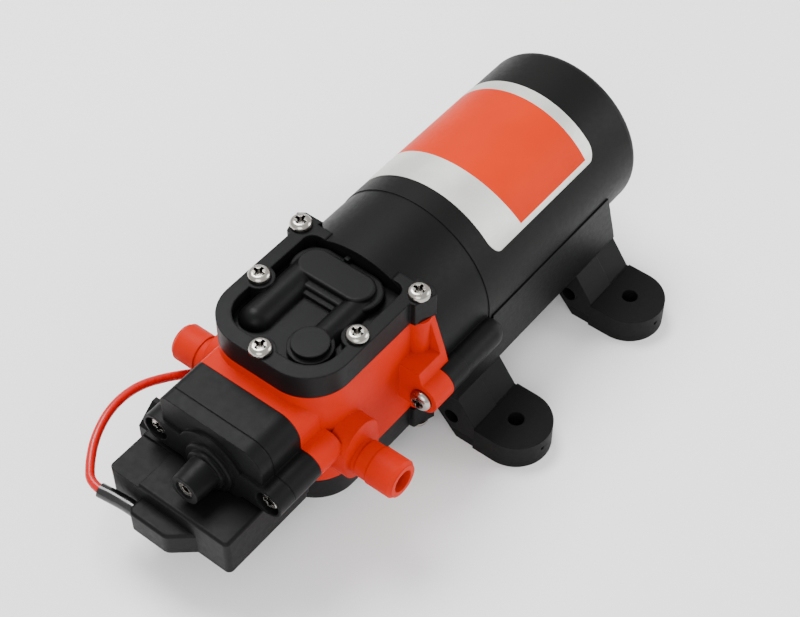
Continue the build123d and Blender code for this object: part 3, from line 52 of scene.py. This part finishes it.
def add_camera():
    """Looks at the target from the photograph's side, with the photograph's focal length."""
    back = Vector((
        math.sin(AZIMUTH) * math.cos(ELEVATION),
        -math.cos(AZIMUTH) * math.cos(ELEVATION),
        math.sin(ELEVATION),
    ))
    data = bpy.data.cameras.new("camera")
    data.sensor_width = SENSOR_WIDTH
    data.lens = FOCAL_PIXELS * SENSOR_WIDTH / FRAME_WIDTH_PIXELS
    data.clip_start = NEAR_CLIP
    camera = bpy.data.objects.new("camera", data)
    bpy.context.scene.collection.objects.link(camera)
    camera.location = TARGET + back * DISTANCE
    camera.rotation_euler = (-back).to_track_quat("-Z", "Y").to_euler()
    bpy.context.scene.camera = camera


add_camera()


# Materials
# A noise value rarely leaves the band between these two, so ramps start and end there.
NOISE_LOW = 0.3
NOISE_HIGH = 0.7
GRAIN_ROUGHNESS = 0.6
# The part of the ambient occlusion over which the painted shade in a recess goes from dark to
# its full colour.
PAINTED_SHADE_CLOSED = 0.35
PAINTED_SHADE_OPEN = 0.85


class Shader:
    """A Principled material with a few helpers that add procedural detail in object space."""

    def __init__(self, name, color, roughness, metallic=0.0, specular=0.5):
        self.material = bpy.data.materials.new(name)
        self.material.use_nodes = True
        self.tree = self.material.node_tree
        self.links = self.tree.links
        self.shader = self.tree.nodes["Principled BSDF"]
        self.color = (*color, 1.0)
        self.roughness = roughness
        self.shader.inputs["Base Color"].default_value = self.color
        self.shader.inputs["Roughness"].default_value = roughness
        self.shader.inputs["Metallic"].default_value = metallic
        self.shader.inputs["Specular IOR Level"].default_value = specular
        self.place = self.tree.nodes.new("ShaderNodeTexCoord").outputs["Object"]
        self.normal = None

    def link(self, socket, name):
        """Feeds one input of the Principled shader."""
        self.links.new(socket, self.shader.inputs[name])

    def round_edges(self, radius, samples=4):
        """Lets sharp edges catch the light as if they were rounded by this radius."""
        node = self.tree.nodes.new("ShaderNodeBevel")
        node.samples = samples
        node.inputs["Radius"].default_value = radius
        self.normal = node.outputs["Normal"]
        self.link(self.normal, "Normal")
        return self

    def paint_recess_shade(self, distance, painted_shade_share, samples=8):
        """Paints shade into the base colour where the surface is closed in within this distance.
        """
        node = self.tree.nodes.new("ShaderNodeAmbientOcclusion")
        node.samples = samples
        node.inputs["Distance"].default_value = distance
        shade = self.ramp(node.outputs["AO"], PAINTED_SHADE_CLOSED, PAINTED_SHADE_OPEN, 0.0, 1.0)
        # painted shade: the base colour scaled down, used where the ambient occlusion is closed
        # in
        painted_shade_color = [c * painted_shade_share for c in self.color[:3]]
        self.link(self.mix_color(shade, painted_shade_color, self.color), "Base Color")
        return self

    def math(self, operation, *values):
        """One math node; each value is a number or a socket."""
        node = self.tree.nodes.new("ShaderNodeMath")
        node.operation = operation
        for socket, value in zip(node.inputs, values):
            if isinstance(value, bpy.types.NodeSocket):
                self.links.new(value, socket)
            else:
                socket.default_value = value
        return node.outputs["Value"]

    def noise(self, scale, detail=3.0, roughness=0.55, stretch=None):
        """A noise value in object space; stretch squeezes it along the axes."""
        node = self.tree.nodes.new("ShaderNodeTexNoise")
        node.inputs["Scale"].default_value = scale
        node.inputs["Detail"].default_value = detail
        node.inputs["Roughness"].default_value = roughness
        place = self.place
        if stretch:
            mapping = self.tree.nodes.new("ShaderNodeMapping")
            mapping.inputs["Scale"].default_value = stretch
            self.links.new(place, mapping.inputs["Vector"])
            place = mapping.outputs["Vector"]
        self.links.new(place, node.inputs["Vector"])
        return node.outputs["Fac"]

    def ramp(self, value, low, high, out_low, out_high):
        """value from low..high carried onto out_low..out_high, clamped."""
        node = self.tree.nodes.new("ShaderNodeMapRange")
        node.inputs["From Min"].default_value = low
        node.inputs["From Max"].default_value = high
        node.inputs["To Min"].default_value = out_low
        node.inputs["To Max"].default_value = out_high
        self.links.new(value, node.inputs["Value"])
        return node.outputs["Result"]

    def spread_noise(self, noise, out_low=0.0, out_high=1.0):
        """A noise value carried onto out_low..out_high."""
        return self.ramp(noise, NOISE_LOW, NOISE_HIGH, out_low, out_high)

    def mix_color(self, value, first, second):
        """A colour that goes from first to second with value."""
        node = self.tree.nodes.new("ShaderNodeMix")
        node.data_type = "RGBA"
        self.links.new(value, node.inputs["Factor"])
        for socket, color in (("A", first), ("B", second)):
            target = [s for s in node.inputs if s.name == socket and s.type == "RGBA"][0]
            if isinstance(color, bpy.types.NodeSocket):
                self.links.new(color, target)
            else:
                target.default_value = (*color[:3], 1.0)
        return [s for s in node.outputs if s.type == "RGBA"][0]

    def vary_color(self, scale, darker, lighter, detail=2.0, stretch=None):
        """Slow colour variation either side of the base colour."""
        value = self.spread_noise(self.noise(scale, detail, stretch=stretch))
        first = [c * darker for c in self.color[:3]]
        second = [c * lighter for c in self.color[:3]]
        self.link(self.mix_color(value, first, second), "Base Color")
        return self

    def vary_roughness(self, scale, spread, detail=3.0, stretch=None):
        """Roughness that wanders by spread either side of the base value."""
        value = self.noise(scale, detail, stretch=stretch)
        low = self.roughness - spread
        high = self.roughness + spread
        self.link(self.spread_noise(value, low, high), "Roughness")
        return self

    def bump(self, value, strength, distance):
        """Adds one layer of bump from a value."""
        node = self.tree.nodes.new("ShaderNodeBump")
        node.inputs["Strength"].default_value = strength
        node.inputs["Distance"].default_value = distance
        self.links.new(value, node.inputs["Height"])
        if self.normal:
            self.links.new(self.normal, node.inputs["Normal"])
        self.normal = node.outputs["Normal"]
        self.link(self.normal, "Normal")
        return self

    def grain(self, scale, strength, distance=0.00012, detail=4.0, stretch=None):
        """A fine skin of bump."""
        return self.bump(self.noise(scale, detail, GRAIN_ROUGHNESS, stretch), strength, distance)


def moulded(name, color, roughness, grain_scale, grain_strength, specular=0.09, edge=0.35 * mm):
    """Moulded plastic: slow tone and gloss variation over a fine skin texture."""
    s = Shader(name, color, roughness, specular=specular)
    s.round_edges(edge)
    s.vary_color(scale=90.0, darker=0.94, lighter=1.06)
    s.vary_roughness(scale=700.0, spread=0.04)
    s.grain(grain_scale, grain_strength)
    return s


# The moulded plastics and rubbers, each with the values that moulded takes
MOULDED = {
    "orange": dict(name="orange_plastic", color=(0.46, 0.0105, 0.0002), roughness=0.50,
                   grain_scale=2600.0, grain_strength=0.10, specular=0.07, edge=0.5 * mm),
    "head": dict(name="head_plastic", color=(0.0038, 0.0039, 0.0042), roughness=0.40,
                 grain_scale=3200.0, grain_strength=0.14, edge=0.6 * mm),
    "housing": dict(name="housing_plastic", color=(0.0040, 0.0040, 0.0042), roughness=0.46,
                    grain_scale=3400.0, grain_strength=0.22),
    "sleeve": dict(name="sleeve_finish", color=(0.0046, 0.0045, 0.0044), roughness=0.48,
                   grain_scale=3600.0, grain_strength=0.30),
    "switch": dict(name="switch_plastic", color=(0.0038, 0.0039, 0.0042), roughness=0.44,
                   grain_scale=3200.0, grain_strength=0.16, edge=0.5 * mm),
    "rubber": dict(name="foot_rubber", color=(0.0046, 0.0046, 0.0047), roughness=0.62,
                   grain_scale=2600.0, grain_strength=0.30, specular=0.1),
    "seal": dict(name="seal_rubber", color=(0.012, 0.012, 0.013), roughness=0.62,
                 grain_scale=1500.0, grain_strength=0.4, specular=0.2),
    "white": dict(name="white_plastic", color=(0.62, 0.61, 0.56), roughness=0.42,
                  grain_scale=1800.0, grain_strength=0.2),
    "micro": dict(name="micro_plastic", color=(0.020, 0.020, 0.022), roughness=0.4,
                  grain_scale=2200.0, grain_strength=0.2),
    "carbon": dict(name="carbon", color=(0.014, 0.014, 0.015), roughness=0.55,
                   grain_scale=3000.0, grain_strength=0.6),
    "magnet": dict(name="magnet", color=(0.05, 0.05, 0.052), roughness=0.6,
                   grain_scale=1400.0, grain_strength=0.5),
    "button": dict(name="button_red", color=(0.42, 0.010, 0.008), roughness=0.35,
                   grain_scale=1500.0, grain_strength=0.1),
}


def lead_insulation():
    """Glossy red wire insulation."""
    s = Shader("lead_red", (0.46, 0.0004, 0.0012), roughness=0.28, specular=0.35)
    s.vary_color(scale=120.0, darker=0.96, lighter=1.04)
    s.vary_roughness(scale=600.0, spread=0.03)
    s.grain(scale=1300.0, strength=0.015)
    return s


def heat_shrink():
    """Black shrink sleeve, glossy and a little uneven."""
    s = Shader("shrink_black", (0.0040, 0.0040, 0.0042), roughness=0.22, specular=0.6)
    s.vary_roughness(scale=500.0, spread=0.08)
    s.grain(scale=260.0, strength=0.45, distance=0.4 * mm, detail=1.5)
    return s


LABEL_RADIUS = 25.15 * mm
LABEL_PANEL_FRONT = -3.9 * mm
LABEL_PANEL_BULGE = 1.9 * mm
LABEL_PANEL_REAR = 25.7 * mm
LABEL_PANEL_HALF_ANGLE = math.radians(54.3)
LABEL_PANEL_FADE = 0.08 * mm
MOTOR_AXIS_Z = 37.0 * mm
SILVER_DARK = (0.52, 0.52, 0.49)
SILVER_LIGHT = (0.66, 0.66, 0.62)
SILVER_METALLIC = 0.55
PANEL_DARK = (0.50, 0.0205, 0.0002)
PANEL_LIGHT = (0.55, 0.0240, 0.0003)


def label_film():
    """Printed film: a silver border round a plain orange panel whose front edge bows forward."""
    s = Shader("label_film", (0.60, 0.60, 0.57), roughness=0.48, specular=0.06)
    split = s.tree.nodes.new("ShaderNodeSeparateXYZ")
    s.links.new(s.place, split.inputs["Vector"])
    x, y, z = (split.outputs[axis] for axis in "XYZ")
    turn = s.math("ARCTAN2", y, s.math("SUBTRACT", z, MOTOR_AXIS_Z))
    share = s.math("DIVIDE", turn, LABEL_PANEL_HALF_ANGLE)
    bow = s.math("MULTIPLY", s.math("MULTIPLY", share, share), LABEL_PANEL_BULGE)
    front = s.math("ADD", bow, LABEL_PANEL_FRONT - LABEL_PANEL_BULGE)
    behind_front = s.math("SUBTRACT", x, front)
    before_rear = s.math("SUBTRACT", LABEL_PANEL_REAR, x)
    turn_left = s.math("SUBTRACT", LABEL_PANEL_HALF_ANGLE, s.math("ABSOLUTE", turn))
    inside_side = s.math("MULTIPLY", turn_left, LABEL_RADIUS)
    nearest = s.math("MINIMUM", s.math("MINIMUM", behind_front, before_rear), inside_side)
    panel = s.ramp(nearest, 0.0, LABEL_PANEL_FADE, 0.0, 1.0)
    tone = s.spread_noise(s.noise(scale=60.0, detail=2.0))
    silver = s.mix_color(tone, SILVER_DARK, SILVER_LIGHT)
    orange = s.mix_color(tone, PANEL_DARK, PANEL_LIGHT)
    s.link(s.mix_color(panel, silver, orange), "Base Color")
    s.link(s.ramp(panel, 0.0, 1.0, SILVER_METALLIC, 0.0), "Metallic")
    s.vary_roughness(scale=800.0, spread=0.05)
    s.grain(scale=2600.0, strength=0.08)
    return s


def screw_steel():
    """Bright steel with painted shade in its cross recess."""
    s = Shader("screw_steel", (0.37, 0.35, 0.32), roughness=0.22, metallic=1.0)
    s.round_edges(0.2 * mm)
    # painted shade: the base colour darkens inside the cross recess
    s.paint_recess_shade(distance=1.2 * mm, painted_shade_share=0.10)
    s.vary_roughness(scale=900.0, spread=0.06)
    s.grain(scale=2200.0, strength=0.05, distance=0.03 * mm)
    return s


def dark_steel():
    s = Shader("dark_steel", (0.16, 0.155, 0.15), roughness=0.36, metallic=1.0)
    s.vary_color(scale=700.0, darker=0.6, lighter=1.3)
    s.vary_roughness(scale=1200.0, spread=0.12)
    s.grain(scale=2500.0, strength=0.2, distance=0.05 * mm)
    return s


def plain_steel():
    """Steel with drawing marks along X."""
    s = Shader("plain_steel", (0.50, 0.50, 0.51), roughness=0.34, metallic=1.0)
    s.vary_color(scale=90.0, darker=0.85, lighter=1.1)
    s.vary_roughness(scale=300.0, spread=0.1, stretch=(1, 30, 30))
    s.grain(scale=900.0, strength=0.15, distance=0.05 * mm, stretch=(0.05, 1, 1))
    return s


def copper():
    s = Shader("copper", (0.72, 0.30, 0.14), roughness=0.30, metallic=1.0)
    s.vary_color(scale=300.0, darker=0.7, lighter=1.15)
    s.vary_roughness(scale=900.0, spread=0.1)
    s.grain(scale=1500.0, strength=0.15, distance=0.05 * mm)
    return s


def winding_copper():
    """Enamelled copper with the ridges of its turns."""
    s = Shader("winding_copper", (0.42, 0.13, 0.05), roughness=0.34, metallic=0.8)
    s.vary_color(scale=200.0, darker=0.7, lighter=1.2)
    s.vary_roughness(scale=700.0, spread=0.1)
    wave = s.tree.nodes.new("ShaderNodeTexWave")
    wave.inputs["Scale"].default_value = 320.0
    wave.inputs["Distortion"].default_value = 1.5
    s.links.new(s.place, wave.inputs["Vector"])
    s.bump(wave.outputs["Fac"], strength=0.8, distance=0.4 * mm)
    return s


def bronze():
    s = Shader("bronze", (0.42, 0.26, 0.10), roughness=0.45, metallic=1.0)
    s.vary_color(scale=700.0, darker=0.7, lighter=1.2)
    s.vary_roughness(scale=1500.0, spread=0.1)
    s.grain(scale=2500.0, strength=0.4, distance=0.08 * mm)
    return s


def terminal_brass():
    s = Shader("terminal_brass", (0.75, 0.50, 0.17), roughness=0.28, metallic=1.0)
    s.vary_color(scale=500.0, darker=0.8, lighter=1.1)
    s.vary_roughness(scale=1100.0, spread=0.1)
    s.grain(scale=2000.0, strength=0.1, distance=0.05 * mm)
    return s


materials = {key: moulded(**values) for key, values in MOULDED.items()}
materials.update({
    "lead": lead_insulation(),
    "shrink": heat_shrink(),
    "label": label_film(),
    "screw": screw_steel(),
    "dark_steel": dark_steel(),
    "steel": plain_steel(),
    "copper": copper(),
    "winding": winding_copper(),
    "bronze": bronze(),
    "brass": terminal_brass(),
})

# Every CAD node and the material that it wears
DRESS = {
    "orange": ["pump_body"],
    "head": ["top_cover", "bottom_cover"],
    "housing": ["front_bell", "motor_base", "switch_box", "switch_box_lid"],
    "sleeve": ["motor_sleeve"],
    "switch": ["switch_body", "switch_cap"],
    "rubber": ["foot_front_left", "foot_front_right", "foot_rear_left", "foot_rear_right"],
    "screw": ["top_cover_screws", "bottom_cover_screws", "lug_screws", "switch_screws",
              "piston_screws", "set_screw", "bearing_balls", "adjusting_screw"],
    "steel": ["motor_can", "armature_core", "bearing_inner", "bearing_ring", "switch_spring",
              "spring_seat", "brush_spring_upper", "brush_spring_lower"],
    "dark_steel": ["motor_shaft", "eccentric"],
    "white": ["motor_end_plate", "brush_holder", "piston_upper", "piston_lower",
              "valve_plate_upper", "valve_plate_lower", "yoke", "switch_plunger"],
    "seal": ["diaphragm_upper", "diaphragm_lower", "seals", "inlet_valves", "outlet_valves",
             "switch_diaphragm", "lead_grommet"],
    "micro": ["micro_switch", "commutator_hub"],
    "button": ["micro_switch_button"],
    "carbon": ["brush_upper", "brush_lower"],
    "magnet": ["magnets"],
    "copper": ["commutator"],
    "winding": ["windings"],
    "bronze": ["shaft_bearings"],
    "brass": ["switch_terminals"],
    "shrink": ["lead_sleeve"],
    "label": ["motor_label"],
    "lead": ["red_lead"],
}


def dress(node, key):
    """Gives a CAD node its material."""
    mesh = nodes[node].data
    mesh.materials.clear()
    mesh.materials.append(materials[key].material)


for key, names in DRESS.items():
    for name in names:
        dress(name, key)


# Red lead, on the route of the CAD node of that name, in mm
LEAD_POINTS = [
    (-116.2, 11.15, 20.9), (-116.2, 16.5, 20.9), (-117.9, 27.0, 21.5), (-113.9, 31.0, 22.8),
    (-107.5, 35.2, 24.0), (-98.5, 38.4, 24.2), (-89.0, 38.6, 23.2), (-80.5, 35.5, 21.0),
    (-72.5, 30.5, 19.0), (-63.5, 26.5, 19.0), (-54.5, 25.6, 21.2), (-47.5, 25.0, 24.0),
    (-38.5, 25.0, 24.0),
]
LEAD_RADIUS = 1.25 * mm
CURVE_ORDER = 3
CURVE_STEPS = 16
CURVE_ROUNDING = 6


def route_curve(name, points, radius, key):
    """A round tube on a smooth curve whose control points are the lead's route."""
    data = bpy.data.curves.new(name, "CURVE")
    data.dimensions = "3D"
    spline = data.splines.new("NURBS")
    spline.points.add(len(points) - 1)
    for point, place in zip(spline.points, points):
        point.co = (*[c * mm for c in place], 1.0)
    spline.order_u = CURVE_ORDER
    spline.use_endpoint_u = True
    spline.resolution_u = CURVE_STEPS
    data.bevel_depth = radius
    data.bevel_resolution = CURVE_ROUNDING
    data.use_fill_caps = True
    obj = bpy.data.objects.new(name, data)
    bpy.context.scene.collection.objects.link(obj)
    data.materials.append(materials[key].material)
    return obj


lead = route_curve("lead_wire", LEAD_POINTS, LEAD_RADIUS, "lead")
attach(lead, "housing")
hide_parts("red_lead")


# Floor and light
FLOOR_HALF_WIDTH = 3.0
FLOOR_GAP = 0.05 * mm
FLOOR_COLOR = (0.97, 0.97, 0.97)
SKY_COLOR = (1.0, 1.0, 1.0, 1.0)
SKY_STRENGTH = 1.0
# name, place in m, width of the disk in m, power in W
LIGHTS = [
    ("key", (0.05, 0.35, 0.75), 0.45, 9.0),
    ("fill", (-0.75, -0.35, 0.55), 0.7, 5.0),
    ("side", (0.55, -0.55, 0.35), 0.5, 4.0),
]


def add_floor():
    """A plain pale floor just under the feet."""
    mesh = bpy.data.meshes.new("floor")
    corners = [(-1, -1), (1, -1), (1, 1), (-1, 1)]
    places = [(x * FLOOR_HALF_WIDTH, y * FLOOR_HALF_WIDTH, 0) for x, y in corners]
    mesh.from_pydata(places, [], [(0, 1, 2, 3)])
    floor = bpy.data.objects.new("floor", mesh)
    bpy.context.scene.collection.objects.link(floor)
    floor.location.z = -FLOOR_GAP
    s = Shader("floor", FLOOR_COLOR, roughness=0.8, specular=0.1)
    s.vary_color(scale=3.0, darker=0.995, lighter=1.005)
    mesh.materials.append(s.material)


def add_sky():
    """Even white light from all sides."""
    world = bpy.data.worlds.new("world")
    bpy.context.scene.world = world
    world.use_nodes = True
    background = world.node_tree.nodes["Background"]
    background.inputs["Color"].default_value = SKY_COLOR
    background.inputs["Strength"].default_value = SKY_STRENGTH


def add_light(name, place, width, power):
    """A soft round light aimed at the pump."""
    data = bpy.data.lights.new(name, "AREA")
    data.shape = "DISK"
    data.size = width
    data.energy = power
    obj = bpy.data.objects.new(name, data)
    bpy.context.scene.collection.objects.link(obj)
    obj.location = place
    obj.rotation_euler = (TARGET - Vector(place)).to_track_quat("-Z", "Y").to_euler()


add_floor()
add_sky()
for light in LIGHTS:
    add_light(*light)
